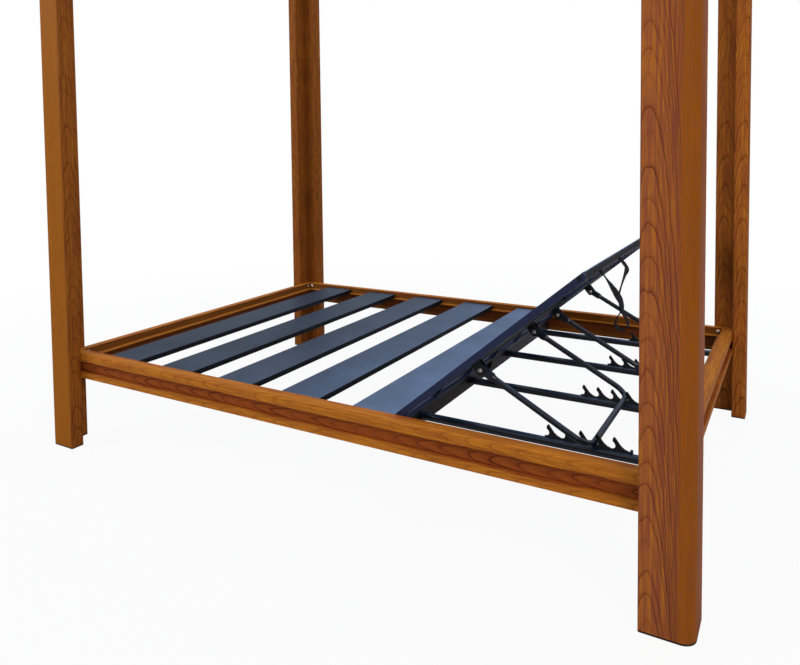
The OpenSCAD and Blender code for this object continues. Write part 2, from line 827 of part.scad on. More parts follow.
// U-shaped bail: x from the pivots to the bar, y across
module bail_body() {
    r = bail_d / 2;
    bar_half = bail_half - bail_bend_r;
    translate([bail_len, bar_half, 0]) rotate([90, 0, 0]) cylinder(h = 2 * bar_half, r = r);
    for (up = [0, 1]) mirror([0, up, 0]) {
        translate([tongue_l, bail_half, 0]) rotate([0, 90, 0])
            cylinder(h = bail_len - bail_bend_r - tongue_l, r = r);
        translate([bail_len - bail_bend_r, bar_half, 0])
            rotate_extrude(angle = 90) translate([bail_bend_r, 0]) circle(r);
        translate([0, bail_half, 0]) difference() {
            union() {
                translate([0, tongue_t / 2, 0]) rotate([90, 0, 0]) cylinder(h = tongue_t, d = tongue_w);
                translate([0, -tongue_t / 2, -tongue_w / 2]) cube([tongue_l, tongue_t, tongue_w]);
                translate([tongue_l, 0, 0]) rotate([0, 90, 0])
                    cylinder(h = neck_l, d1 = tongue_w, d2 = bail_d);
            }
            translate([0, tongue_t, 0]) rotate([90, 0, 0])
                cylinder(h = 2 * tongue_t, r = pivot_d / 2 + pin_fit);
        }
    }
}

module bail(rear) {
    color("midnightblue") flip_y(!rear) translate([pivot_x, bail_y, pivot_z])
        rotate([0, bail_angle, 0]) bail_body();
}

// Webbing swept along the strap's route, a flat four-cornered ring at each point
function strap_mid(i) = [strap_x + strap_route[i][0], panel_mid + strap_route[i][1],
    strap_z - strap_route[i][2]];
function strap_run(i) = let (last = len(strap_route) - 1,
    v = strap_mid(min(i + 1, last)) - strap_mid(max(i - 1, 0))) v / norm(v);
function strap_across(i) = let (a = strap_route[i][3], u = [cos(a), sin(a), 0], v = strap_run(i),
    w = u - (u * v) * v) w / norm(w);
function strap_ring(i) = let (m = strap_mid(i), w = strap_across(i) * strap_w / 2,
    n = cross(strap_run(i), strap_across(i)) * strap_t / 2) [m - w - n, m + w - n, m + w + n, m - w + n];

module pull_strap(rear) {
    n = len(strap_route);
    points = [for (i = [0 : n - 1]) each strap_ring(i)];
    // Both faces are split along the same diagonal, so that a twist keeps the thickness
    sides = [for (i = [0 : n - 2], k = [0 : 3]) let (a = 4 * i + k, b = 4 * i + (k + 1) % 4)
        each k == 2 ? [[a, b, a + 4], [b, b + 4, a + 4]] : [[a, b, b + 4], [a, b + 4, a + 4]]];
    last = 4 * (n - 1);
    ends = [[0, 2, 1], [0, 3, 2], [last, last + 1, last + 2], [last, last + 2, last + 3]];
    color("black") flip_y(!rear) polyhedron(points, concat(sides, ends), convexity = 6);
}

post(false, false);  // post_front_left
post(true, false);  // post_front_right
post(true, true);  // post_rear_right
post(false, true);  // post_rear_left
foot_cap(false, false);  // foot_cap_front_left
foot_cap(true, false);  // foot_cap_front_right
foot_cap(true, true);  // foot_cap_rear_right
foot_cap(false, true);  // foot_cap_rear_left
top_cap(false, false);  // top_cap_front_left
top_cap(true, false);  // top_cap_front_right
top_cap(true, true);  // top_cap_rear_right
top_cap(false, true);  // top_cap_rear_left
lower_rail(0);  // front_rail
lower_rail(1);  // right_rail
lower_rail(2);  // rear_rail
lower_rail(3);  // left_rail
top_rail(0);  // top_front_rail
top_rail(1);  // top_right_rail
top_rail(2);  // top_rear_rail
top_rail(3);  // top_left_rail
rail_bolts();
top_rail_bolts();
rail_inserts();
top_rail_inserts();
slat(0);  // slat_1
slat(1);  // slat_2
slat(2);  // slat_3
slat(3);  // slat_4
slat(4);  // slat_5
slat_screws();
cross_beam();
support_tube(-tube_y_outer);  // tube_front_outer
support_tube(-tube_y_inner);  // tube_front_inner
support_tube(tube_y_inner);  // tube_rear_inner
support_tube(tube_y_outer);  // tube_rear_outer
rack(-tube_y_outer);  // rack_front_outer
rack(-tube_y_inner);  // rack_front_inner
rack(tube_y_inner);  // rack_rear_inner
rack(tube_y_outer);  // rack_rear_outer
hinge_axle();
axle_sockets();
axle_lug();
panel_frame(false);  // front_frame
panel_plank(false, 0);  // front_plank_1
panel_plank(false, 1);  // front_plank_2
panel_plank(false, 2);  // front_plank_3
panel_brackets(false);  // front_brackets
pivot_screws(false);  // front_pivot_screws
panel_plugs(false);  // front_plugs
bail(false);  // front_bail
pull_strap(false);  // front_strap
panel_frame(true);  // rear_frame
panel_plank(true, 0);  // rear_plank_1
panel_plank(true, 1);  // rear_plank_2
panel_plank(true, 2);  // rear_plank_3
panel_brackets(true);  // rear_brackets
pivot_screws(true);  // rear_pivot_screws
panel_plugs(true);  // rear_plugs
bail(true);  // rear_bail
pull_strap(true);  // rear_strap
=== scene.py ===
# %% [markdown]
# This lesson dresses an outdoor daybed. The frame is a set of aluminium extrusions with a
# printed wood grain, and inside it lie powder-coated slats, steel tubes and two backrests.
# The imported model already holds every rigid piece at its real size, so the scene loads it as a
# fixed frame. What is left to make is the finish of each piece and the woven pull straps.

# %% Load the frame
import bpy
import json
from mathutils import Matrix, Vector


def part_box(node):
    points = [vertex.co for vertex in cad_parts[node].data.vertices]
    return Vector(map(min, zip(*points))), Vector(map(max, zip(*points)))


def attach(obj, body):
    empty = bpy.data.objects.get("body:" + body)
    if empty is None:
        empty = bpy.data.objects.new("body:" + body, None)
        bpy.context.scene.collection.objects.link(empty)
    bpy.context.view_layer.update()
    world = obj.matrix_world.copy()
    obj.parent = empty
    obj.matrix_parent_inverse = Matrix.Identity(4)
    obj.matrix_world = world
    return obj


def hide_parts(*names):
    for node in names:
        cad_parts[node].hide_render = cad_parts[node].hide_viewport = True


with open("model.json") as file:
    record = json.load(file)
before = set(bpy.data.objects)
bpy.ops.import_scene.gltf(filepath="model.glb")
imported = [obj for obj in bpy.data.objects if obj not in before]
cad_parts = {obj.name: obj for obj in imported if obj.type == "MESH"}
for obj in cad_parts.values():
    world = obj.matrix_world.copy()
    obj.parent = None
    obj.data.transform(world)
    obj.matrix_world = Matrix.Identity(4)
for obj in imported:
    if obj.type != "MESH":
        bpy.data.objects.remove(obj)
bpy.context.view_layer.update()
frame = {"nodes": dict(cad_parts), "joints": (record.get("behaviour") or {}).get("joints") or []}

import json
import math

import bpy
from mathutils import Matrix, Vector

MM = 0.001
nodes = frame["nodes"]
joints = {joint["name"]: joint for joint in frame["joints"]}

# %% [markdown]
# The photograph was taken from the head end, a little above the bed, with a slightly wide lens.
# A camera could be placed by eye. It is surer to work it out from the vanishing points of the
# rails and posts, as was done here. The horizon lies high in the picture, so the lens is
# shifted down more than it is tilted. A real view camera does the same to keep posts upright.

# %% Camera at the photograph's viewpoint
PHOTO_WIDTH, PHOTO_HEIGHT = 800, 665
FOCAL_PX = 714.3
AXIS_PX = (386.3, 179.0)
SENSOR = 36.0
CAMERA_AT = Vector((1217.4, -2258.1, 1033.1)) * MM
YAW, PITCH, ROLL = math.radians(30.417), math.radians(2.904), math.radians(-0.684)
SEEN_TO = 200

camera_data = bpy.data.cameras.new("photo_camera")
camera_data.sensor_width = SENSOR
camera_data.lens = FOCAL_PX / PHOTO_WIDTH * SENSOR
camera_data.shift_x = (PHOTO_WIDTH / 2 - AXIS_PX[0]) / PHOTO_WIDTH
camera_data.shift_y = (AXIS_PX[1] - PHOTO_HEIGHT / 2) / PHOTO_WIDTH
camera_data.clip_end = SEEN_TO
camera = bpy.data.objects.new("photo_camera", camera_data)
bpy.context.scene.collection.objects.link(camera)
turn = Matrix.Rotation(YAW, 4, "Z") @ Matrix.Rotation(math.pi / 2 - PITCH, 4, "X")
camera.matrix_world = Matrix.Translation(CAMERA_AT) @ turn @ Matrix.Rotation(ROLL, 4, "Z")
bpy.context.scene.camera = camera
bpy.context.scene.view_settings.view_transform = "Standard"
print("lens", round(camera_data.lens, 2), "mm, shift", round(camera_data.shift_y, 4))

# %% [markdown]
# Four small helpers serve every material. Colours are picked as sRGB hex values, the way
# a paint card gives them, and the renderer wants linear light, so one function converts them.
# Another adds a shader node, sets it and links it in one line, which keeps each material as
# short as its recipe. The last two start a material and put it on pieces of the frame.

# %% Helpers for colours, shader nodes and materials
def hex_colour(code):
    """Linear RGBA of an sRGB hex colour such as '#aa6622'."""
    shares = [int(code[i:i + 2], 16) / 255 for i in (1, 3, 5)]
    linear = [s / 12.92 if s <= 0.04045 else ((s + 0.055) / 1.055) ** 2.4 for s in shares]
    return (*linear, 1.0)


def add(tree, kind, inputs=(), out=0, **settings):
    """Adds a node with its settings and returns one of its outputs, or all where out is None.
    Inputs are a dict by socket or a tuple in the node's order, and sockets are linked."""
    made = tree.nodes.new(kind)
    for name, value in settings.items():
        setattr(made, name, value)
    for socket, value in inputs.items() if isinstance(inputs, dict) else enumerate(inputs):
        if isinstance(value, bpy.types.NodeSocket):
            tree.links.new(value, made.inputs[socket])
        else:
            made.inputs[socket].default_value = value
    return made.outputs if out is None else made.outputs[out]


def new_material(name, **values):
    """A Principled material with constants on its sockets: base_color sets Base Color."""
    material = bpy.data.materials.new(name)
    material.use_nodes = True
    surface = material.node_tree.nodes["Principled BSDF"]
    for word, value in values.items():
        socket = word.replace("_", " ").title().replace("Ior", "IOR")
        surface.inputs[socket].default_value = value
    return material, material.node_tree, surface


def clothe(names, material):
    """Gives pieces of the frame one material in place of what they came with."""
    for name in names:
        piece = nodes[name]
        piece.data.materials.clear()
        piece.data.materials.append(material)


print("white is", hex_colour("#ffffff"))

# %% [markdown]
# Two patterns come back in several finishes. Some colours change with the way a face looks:
# faces that look up take a painted sheen of the sky, and the inner side of a rail takes painted
# shade. That could be painted on by hand, but the direction of a face is known everywhere and
# needs no picking by hand.
# The grain of wood needs noise that is stretched along the profile. It is read at two
# coordinates, one round the section and one along it, each divided by the size that a feature
# has on the bed.

# %% Faces that look one way, and noise along the grain
UPRIGHT = Vector((0, 0, 1))


def facing(tree, way, low, high):
    """0 where the cosine between a face and a direction is low, rising to 1 at high."""
    normal = add(tree, "ShaderNodeTexCoord", out="Normal")
    cosine = add(tree, "ShaderNodeVectorMath", (normal, way), "Value", operation="DOT_PRODUCT")
    return add(tree, "ShaderNodeMapRange", (cosine, low, high))


def grain_noise(tree, girth, length, part, cell, detail):
    """Noise whose features have a width round the section and a run along it. Another part
    of the same noise keeps two patterns from agreeing."""
    width, run = cell
    around = add(tree, "ShaderNodeMath", (girth, 1 / width), operation="MULTIPLY")
    lengthwise = add(tree, "ShaderNodeMath", (length, 1 / run), operation="MULTIPLY")
    place = add(tree, "ShaderNodeCombineXYZ", (around, lengthwise, part))
    return add(tree, "ShaderNodeTexNoise", {"Vector": place, "Scale": 1.0, "Detail": detail})


print("faces are compared with", tuple(UPRIGHT))

# %% [markdown]
# The posts and rails are extruded aluminium. A wood-grain film is pressed on a powder coat and
# its ink sinks in under heat. What the eye reads first are the growth lines of cherry-like
# wood: they rise to nested arches in one column and run close and straight beside it. A wave
# texture gives rings too, but its lines swell where an arch turns. So the lines here are the
# contours of a height, which grows along the profile and with the square of the distance from
# the column. The step past a contour is divided by the slope of that height, which gives the
# distance in metres, and each line keeps its width.

# %% Growth lines
ARCH_POWER = 2.0
ARCH_TIP = 4 * MM
WAVER = 1.4
# A line on the real film is a millimetre or so wide, and a shade beside it reaches 9 mm out.
LINE_REACH = 9 * MM
# Place across a line, as a share of its reach, and how dark it is there.
LINE_START_DARK = 0.2
LINE_PROFILE = ((0.07, 0.95), (0.16, 0.75), (0.28, 0.4), (0.55, 0.16))
FAINTEST_LINE = 0.3


def growth_lines(tree, from_column, length, waver, figure):
    """Darkness of the growth lines of a figure. It gives how far apart the columns of arches
    stand, how far apart the arches are along one, and the spread: how far out from the middle
    a limb has fallen by one arch."""
    beside = add(tree, "ShaderNodeMath", (from_column, figure["columns_apart"] / 2),
                 operation="PINGPONG")
    squared = add(tree, "ShaderNodeMath", (beside, beside, ARCH_TIP ** 2),
                  operation="MULTIPLY_ADD")
    rounded = add(tree, "ShaderNodeMath", (squared,), operation="SQRT")
    reach = add(tree, "ShaderNodeMath", (rounded, 1 / figure["spread"]), operation="MULTIPLY")
    fall = add(tree, "ShaderNodeMath", (reach, ARCH_POWER), operation="POWER")
    uneven = add(tree, "ShaderNodeMath", (waver, WAVER, fall), operation="MULTIPLY_ADD")
    height = add(tree, "ShaderNodeMath", (length, 1 / figure["arch"], uneven),
                 operation="MULTIPLY_ADD")

    steepness = add(tree, "ShaderNodeMath", (reach, ARCH_POWER - 1), operation="POWER")
    sideways = add(tree, "ShaderNodeMath", (steepness, ARCH_POWER / figure["spread"]),
                   operation="MULTIPLY")
    both_ways = add(tree, "ShaderNodeMath", (sideways, sideways, (1 / figure["arch"]) ** 2),
                    operation="MULTIPLY_ADD")
    slope = add(tree, "ShaderNodeMath", (both_ways,), operation="SQRT")
    step = add(tree, "ShaderNodeMath", (height,), operation="FRACT")
    distance = add(tree, "ShaderNodeMath", (step, slope), operation="DIVIDE")
    over_reach = add(tree, "ShaderNodeMath", (distance, 1 / LINE_REACH), operation="MULTIPLY")
    profile = tree.nodes.new("ShaderNodeValToRGB")
    start, end = profile.color_ramp.elements
    start.color, end.color = (*[LINE_START_DARK] * 3, 1), (0, 0, 0, 1)
    for place, dark in LINE_PROFILE:
        profile.color_ramp.elements.new(place).color = (dark, dark, dark, 1)
    tree.links.new(over_reach, profile.inputs[0])

    number = add(tree, "ShaderNodeMath", (height,), operation="FLOOR")
    chance = add(tree, "ShaderNodeTexWhiteNoise", {"W": number}, noise_dimensions="1D")
    strength = add(tree, "ShaderNodeMapRange", (chance, 0.0, 1.0, FAINTEST_LINE, 1.0))
    return add(tree, "ShaderNodeMath", (profile.outputs[0], strength), operation="MULTIPLY")


print("a growth line fades out over", round(LINE_REACH / MM), "mm")

# %% [markdown]
# Under the growth lines the film has broad streaks, and fine fibres and short pores cover all
# of it. An image of wood would hold them all, but it would repeat along a rail, so each is a
# noise of its own, stretched along the grain. Real streaks are about 5 mm wide. Fibres and
# pores are a fraction of a millimetre wide, too fine for the picture, so they are drawn a
# millimetre or two wide.

# %% Streaks, fibres and pores
# For each: its width and run, its part of the noise, the detail, the noise values where a mark
# begins and is full, and how strong it is there.
STREAKS = ((5 * MM, 160 * MM), 9.0, 3.0, 0.32, 0.6, 1.0)
FIBRES = ((1.6 * MM, 30 * MM), 2.0, 3.0, 0.4, 0.8, 0.6)
PORES = ((1.1 * MM, 6 * MM), 4.0, 1.0, 0.55, 0.75, 0.35)


def grain_marks(tree, girth, length, part, marks):
    """Strength of the streaks, fibres or pores at each point of the film."""
    cell, own_part, detail, begins, full, strength = marks
    noise = grain_noise(tree, girth, length, part + own_part, cell, detail)
    return add(tree, "ShaderNodeMapRange", (noise, begins, full, 0.0, strength))


print("pores are drawn", round(PORES[0][0] / MM, 1), "x", round(PORES[0][1] / MM), "mm")

# %% [markdown]
# The film goes round the section of a profile. It could be unwrapped like a sheet, but a sum
# of two axes serves as the coordinate across it, since on each flat face only one of them
# changes. Beside the arches lies a band in a plain tone, where the lines turn faint. They fade
# on faces that look up or inward too, and the inward ones are painted browner and darker as
# painted shade, where they see no sky. The skin of the powder under the film gives a dull sheen
# and a slight orange peel.

# %% Wood-print aluminium
# Width and run of the noise that sways the column, and of the one that wavers the lines.
SWAY_CELL, WAVER_CELL = (70 * MM, 190 * MM), (40 * MM, 110 * MM)
SWAY_DETAIL, WAVER_DETAIL, WAVER_PART = 2.0, 3.0, 5.0
SWAY = 7 * MM
# Cosines between a face and a direction where it begins to count as looking there, and does.
INWARD_FACE, UPWARD_FACE = (0.5, 0.9), (0.6, 0.9)
LINES_KEPT = 0.2
STREAK_INK = 0.16
INNER_SHADE = 0.72
PAINTED_SHADE_BROWN = hex_colour("#3c1e0a")
# The waves of orange peel are 2 to 3 mm wide on real powder coats.
PEEL = 2.5 * MM


def wood_print(name, tones, across, along, centre, figure, band, part, inward=(0, 0, 0),
               fibre=None):
    """Film with a figure along one axis, its column at centre on the sum of axes across. band
    is (period, start, end) of the plain band, measured from the column. inward is where the
    faces with painted shade look, and fibre is the sum of axes for the marks where it isn't
    across."""
    material, tree, surface = new_material(name, roughness=0.55, specular_ior_level=0.06)
    gold, brown, plain, ink = (hex_colour(code) for code in tones)
    point = add(tree, "ShaderNodeTexCoord", out="Object")
    section, length, girth = (add(tree, "ShaderNodeVectorMath", (point, axes), "Value",
                                  operation="DOT_PRODUCT")
                              for axes in (across, along, fibre or across))

    sway = grain_noise(tree, girth, length, part, SWAY_CELL, SWAY_DETAIL)
    swayed = add(tree, "ShaderNodeMath", (sway, 2 * SWAY, -SWAY - centre),
                 operation="MULTIPLY_ADD")
    from_column = add(tree, "ShaderNodeMath", (section, swayed), operation="ADD")
    waver = grain_noise(tree, girth, length, part + WAVER_PART, WAVER_CELL, WAVER_DETAIL)
    lines = growth_lines(tree, from_column, length, waver, figure)

    band_period, band_start, band_end = band
    folded = add(tree, "ShaderNodeMath", (from_column, band_period / 2), operation="PINGPONG")
    in_band = add(tree, "ShaderNodeMapRange", (folded, band_start, band_end))
    fade = add(tree, "ShaderNodeMapRange", (in_band, 0.0, 1.0, figure["bold"], figure["faint"]))
    inside = facing(tree, inward, *INWARD_FACE)
    turned = add(tree, "ShaderNodeMath", (inside, facing(tree, UPRIGHT, *UPWARD_FACE)),
                 operation="MAXIMUM")
    kept = add(tree, "ShaderNodeMapRange", (turned, 0.0, 1.0, 1.0, LINES_KEPT))
    faded = add(tree, "ShaderNodeMath", (fade, kept), operation="MULTIPLY")
    drawn = add(tree, "ShaderNodeMath", (lines, faded), operation="MULTIPLY")

    streaks, fibres, pores = (grain_marks(tree, girth, length, part, marks)
                              for marks in (STREAKS, FIBRES, PORES))
    figured = add(tree, "ShaderNodeMix", {0: streaks, 6: gold, 7: brown}, 2, data_type="RGBA")
    inked = add(tree, "ShaderNodeMath", (streaks, STREAK_INK), operation="MULTIPLY")
    streaked = add(tree, "ShaderNodeMix", {0: inked, 6: plain, 7: ink}, 2, data_type="RGBA")
    film = add(tree, "ShaderNodeMix", {0: in_band, 6: figured, 7: streaked}, 2,
               data_type="RGBA")
    pored = add(tree, "ShaderNodeMath", (pores, fade), operation="MULTIPLY")
    # Painted shade: faces that look inward are painted darker and browner.
    shaded = add(tree, "ShaderNodeMath", (inside, INNER_SHADE), operation="MULTIPLY")
    for share, tone in ((fibres, brown), (drawn, ink), (pored, ink), (shaded, PAINTED_SHADE_BROWN)):
        film = add(tree, "ShaderNodeMix", {0: share, 6: film, 7: tone}, 2, data_type="RGBA")
    tree.links.new(film, surface.inputs["Base Color"])

    peel = add(tree, "ShaderNodeTexNoise", {"Vector": point, "Scale": 1 / PEEL})
    bump = add(tree, "ShaderNodeBump", {"Height": peel, "Strength": 0.12,
                                        "Distance": 0.2 * MM})
    tree.links.new(bump, surface.inputs["Normal"])
    return material


print("orange peel of", round(PEEL / MM, 1), "mm under the film")

# %% [markdown]
# A post is an L, and its film has one column of arches. The sum of axes is chosen so that it
# runs on round the inner edges of the L and turns back at the outer corner. The plain band is
# laid over that corner, so that the turn doesn't show. Each post is cut from another length of
# profile, and their tones differ as they do in the photograph. The rear right post's tones are
# the yellow ones painted brighter: painted light, as it gets less of the lamps than the others.

# %% Print on the posts
# Tones are gold, brown, the plain band and the ink of the lines.
RED_TONES = ("#b06c24", "#8c4d30", "#94540e", "#501c1a")
YELLOW_TONES = ("#a3631a", "#7e441a", "#a06010", "#54260f")
# Painted light: the yellow tones made brighter for the rear right post.
PAINTED_LIGHT_TONES = ("#b97222", "#914f22", "#b06a14", "#54260f")
# Longer than the way round an L, so that nothing repeats on it.
NO_REPEAT = 400 * MM
BAND_EDGE = 9 * MM
# Arches are about as far apart as half the post is wide, which was read from the photograph.
# The strength of the lines is bold beside the plain band and faint in it.
POST_FIGURE = {"columns_apart": NO_REPEAT, "arch": 60 * MM, "spread": 22 * MM,
               "bold": 1.0, "faint": 0.06}
# For each post: its tones, the sum of axes, the sum's value at the column of arches, and how
# far from there the plain band starts.
POSTS = {"front_right": (RED_TONES, (1, -1, 0), 1689 * MM, 58 * MM),
         "front_left": (YELLOW_TONES, (1, 1, 0), -1649 * MM, 25 * MM),
         "rear_right": (PAINTED_LIGHT_TONES, (1, 1, 0), 1658 * MM, 50 * MM),
         "rear_left": (YELLOW_TONES, (1, -1, 0), -1659 * MM, 45 * MM)}
POST_STEP = 20.0

for i, (corner, (tones, across, centre, start)) in enumerate(POSTS.items()):
    printed = wood_print("wood_print_post_" + corner, tones, across, UPRIGHT, centre,
                         POST_FIGURE, (NO_REPEAT, start, start + BAND_EDGE), POST_STEP * i)
    clothe([n for n in nodes if n.startswith(("post_", "top_cap_")) and n.endswith(corner)],
           printed)
print("wood print on", len(POSTS), "posts and their caps")

# %% [markdown]
# A rail has arches in the middle of its bead, its cove and its flange, and the cove is painted
# as the redder, darker band, with bolder lines: painted shade and a painted reflection of the
# ground on a face that looks down. The coordinate across it is the height plus a small share of
# the way inward, so that the bead's tone goes on over the top. The fibres take a full share of
# it, or they would look smeared there.

# %% Print on the rails
RAIL_TONES = ("#c67f24", "#a25e20", "#964a1e", "#481810")
RAIL_FIGURE = {"columns_apart": 35 * MM, "arch": 66 * MM, "spread": 15 * MM,
               "bold": 0.6, "faint": 1.2}
RAIL_SLANT = 0.15
BEAD_MIDDLE = 74 * MM
# Painted shade: the cove band takes the third, redder and darker tone.
COVE_PAINTED_SHADE_BAND = (70 * MM, 15 * MM, 19 * MM)
FIRST_RAIL, RAIL_STEP = 90.0, 7.0
# For each side: the way inward, and the way along the rail.
RAILS = {"front": (Vector((0, 1, 0)), (-1, 0, 0)), "rear": (Vector((0, -1, 0)), (1, 0, 0)),
         "left": (Vector((1, 0, 0)), (0, 1, 0)), "right": (Vector((-1, 0, 0)), (0, -1, 0))}

for i, (side, (inward, along)) in enumerate(RAILS.items()):
    across = RAIL_SLANT * inward + UPRIGHT
    for level in ("", "top_"):
        low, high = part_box(level + side + "_rail")
        outer = RAIL_SLANT * max(abs(corner[k] * inward[k])
                                 for corner in (low, high) for k in (0, 1))
        printed = wood_print("wood_print_rail_" + level + side, RAIL_TONES, across, along,
                             low[2] + BEAD_MIDDLE - outer, RAIL_FIGURE, COVE_PAINTED_SHADE_BAND,
                             FIRST_RAIL + RAIL_STEP * i, inward, inward + UPRIGHT)
        clothe([level + side + "_rail"], printed)
print("wood print on", 2 * len(RAILS), "rails")

# %% [markdown]
# Everything inside the wooden-looking ring is powder coated. The powder melts into a skin of
# fine beads, which scatters a highlight softly and breaks the painted sheen into a speckle. The
# slats are nearly black, as their edges show, and the faces that look up are painted slate blue:
# a painted sheen, the sky's reflection seen almost edge on. Two materials to a piece would need
# every face picked. Instead one function makes a coat from its own colour, its painted sheen
# colour, the size of the bead and the gloss, and the slope of a face decides between the
# colours. The painted sheen is weaker at the foot end than at the head end.

# %% Powder coats
# The upright's cosine is 0.65 at the edge of a raised backrest and 0.76 at its top.
BARE_COAT_COSINE, SHEEN_COSINE = 0.67, 0.75
# From where to where along the bed the painted sheen grows, how late, and its share at the foot.
FOOT_X, HEAD_X = -0.9, 0.3
LATE_RISE = 3.0
FOOT_SHEEN = 0.18
# The painted sheen is thinner in clouds, about as wide as a slat, and in specks the size of
# the beads: the noise values where it is thinnest and full, and these two shares of it.
CLOUD = 120 * MM
CLOUDS, SPECKS = (0.3, 0.7, 0.72, 1.0), (0.35, 0.65, 0.84, 1.0)


def powder_coat(name, coat_colour, painted_sheen_colour, bead, roughness, gloss):
    """Powder coat with beads of a real size; faces that look up take a painted sheen colour."""
    material, tree, surface = new_material(name, roughness=roughness, specular_ior_level=gloss)
    point = add(tree, "ShaderNodeTexCoord", out="Object")
    grain = add(tree, "ShaderNodeTexNoise", {"Vector": point, "Scale": 1 / bead, "Detail": 3.0})
    cloud = add(tree, "ShaderNodeTexNoise", {"Vector": point, "Scale": 1 / CLOUD})
    clouded = add(tree, "ShaderNodeMapRange", (cloud, *CLOUDS))
    speckled = add(tree, "ShaderNodeMapRange", (grain, *SPECKS))
    sheen_mottle = add(tree, "ShaderNodeMath", (clouded, speckled), operation="MULTIPLY")

    along_bed = add(tree, "ShaderNodeSeparateXYZ", (point,), "X")
    headward = add(tree, "ShaderNodeMapRange", (along_bed, FOOT_X, HEAD_X))
    late = add(tree, "ShaderNodeMath", (headward, LATE_RISE), operation="POWER")
    sheen_along_bed = add(tree, "ShaderNodeMapRange", (late, 0.0, 1.0, FOOT_SHEEN, 1.0))
    upward = facing(tree, UPRIGHT, BARE_COAT_COSINE, SHEEN_COSINE)
    sheen_reach = add(tree, "ShaderNodeMath", (upward, sheen_along_bed), operation="MULTIPLY")
    share = add(tree, "ShaderNodeMath", (sheen_mottle, sheen_reach), operation="MULTIPLY")
    # Painted sheen: faces that look up are painted in the lighter colour, as the sky's
    # reflection.
    coat = add(tree, "ShaderNodeMix", {0: share, 6: hex_colour(coat_colour), 7: hex_colour(painted_sheen_colour)},
               2, data_type="RGBA")
    tree.links.new(coat, surface.inputs["Base Color"])
    bump = add(tree, "ShaderNodeBump", {"Height": grain, "Strength": 0.05,
                                        "Distance": 0.1 * MM})
    tree.links.new(bump, surface.inputs["Normal"])
    return material


# The beads are about 1 mm wide and are drawn up to 3 mm wide so that they show. The slats are
# matt, the tubes have a satin gloss, and the cross beam is painted browner: a painted reflection
# of the rails beside it.
slate = powder_coat("slate_powder_coat", "#0b0e14", "#637a97", 3.0 * MM, 0.5, 0.15)
frame_blue = powder_coat("blue_powder_coat", "#1a2340", "#2b3a60", 2.5 * MM, 0.4, 0.25)
blue_black = powder_coat("blue_black_powder_coat", "#0b111d", "#24354f", 2.0 * MM, 0.3, 0.4)
brown_black = powder_coat("brown_black_powder_coat", "#1c1712", "#2a241c", 2.0 * MM, 0.45, 0.2)
black = powder_coat("black_powder_coat", "#070a0d", "#12181e", 1.5 * MM, 0.36, 0.3)
planks = [n for n in nodes if "_plank_" in n or n.startswith("slat_") and n != "slat_screws"]
clothe(planks, slate)
clothe([n for n in nodes if n.endswith("_frame")], frame_blue)
clothe([n for n in nodes if n.startswith("tube_") or n.endswith("_bail")], blue_black)
clothe(["cross_beam", "axle_lug"], brown_black)
clothe([n for n in nodes if n.startswith("rack_") or n.endswith("_brackets")], black)
print("powder coat on", len(planks), "slats and planks")

# %% [markdown]
# The bolts and screws are stainless steel, tumbled bright, and the axle is a drawn rod with
# fine scratches along it. Scratches could be cut with a bump, but at this size they only spread
# the highlight, so they go into the roughness. The foot caps and the plugs are moulded black
# plastic, whose fine grain looks enough like a powder coat's to be made by the same function.

# %% Metals and plastic
TARNISH = hex_colour("#8f9092")
# How much smoother and how much rougher than its mean the scratches leave the steel.
SMOOTHER, ROUGHER = 0.1, 0.15


def bare_steel(name, colour, roughness, scratch_size):
    """Bright steel with scratches, whose size is given along x, y and z."""
    material, tree, surface = new_material(name, metallic=1.0)
    point = add(tree, "ShaderNodeTexCoord", out="Object")
    scaled = add(tree, "ShaderNodeMapping", {"Vector": point,
                                             "Scale": [1 / size for size in scratch_size]})
    scratch = add(tree, "ShaderNodeTexNoise", {"Vector": scaled, "Scale": 1.0, "Detail": 4.0})
    worn = add(tree, "ShaderNodeMapRange",
               (scratch, 0.0, 1.0, roughness - SMOOTHER, roughness + ROUGHER))
    tree.links.new(worn, surface.inputs["Roughness"])
    tint = add(tree, "ShaderNodeMix", {0: scratch, 6: hex_colour(colour), 7: TARNISH}, 2,
               data_type="RGBA")
    tree.links.new(tint, surface.inputs["Base Color"])
    return material


# Real scratches are finer than a hair. They are drawn 0.6 to 0.8 mm wide so that they show,
# and those of the rod run 30 mm along it.
stainless = bare_steel("stainless_steel", "#f0e6e4", 0.4, (0.8 * MM, 0.8 * MM, 0.8 * MM))
drawn_rod = bare_steel("drawn_steel_rod", "#a9abad", 0.35, (0.6 * MM, 30 * MM, 0.6 * MM))
moulded = powder_coat("moulded_black_plastic", "#08080a", "#131316", 1.0 * MM, 0.45, 0.3)
fastened = ("rail_bolts", "rail_inserts", "pivot_screws", "slat_screws", "axle_sockets")
fasteners = [n for n in nodes if n.endswith(fastened)]
clothe(fasteners, stainless)
clothe(["hinge_axle"], drawn_rod)
clothe([n for n in nodes if n.startswith("foot_cap") or n.endswith("_plugs")], moulded)
print("steel on", len(fasteners), "sets of fasteners and the axle")

# %% [markdown]
# A pull strap hangs under the top plank of each backrest: one length of black polypropylene
# webbing whose ends go up through two slots, with a loop tied in its middle. A cloth
# simulation could hang it, but it would also have to tie the loop. The photograph shows how
# the strap lies, so its route is given by points and a smooth curve is laid through them.
# Webbing bends easily about its width but hardly within it, so each point also says which way
# the width lies.

# %% Route of the pull straps
SLOT_HALF = 109.5
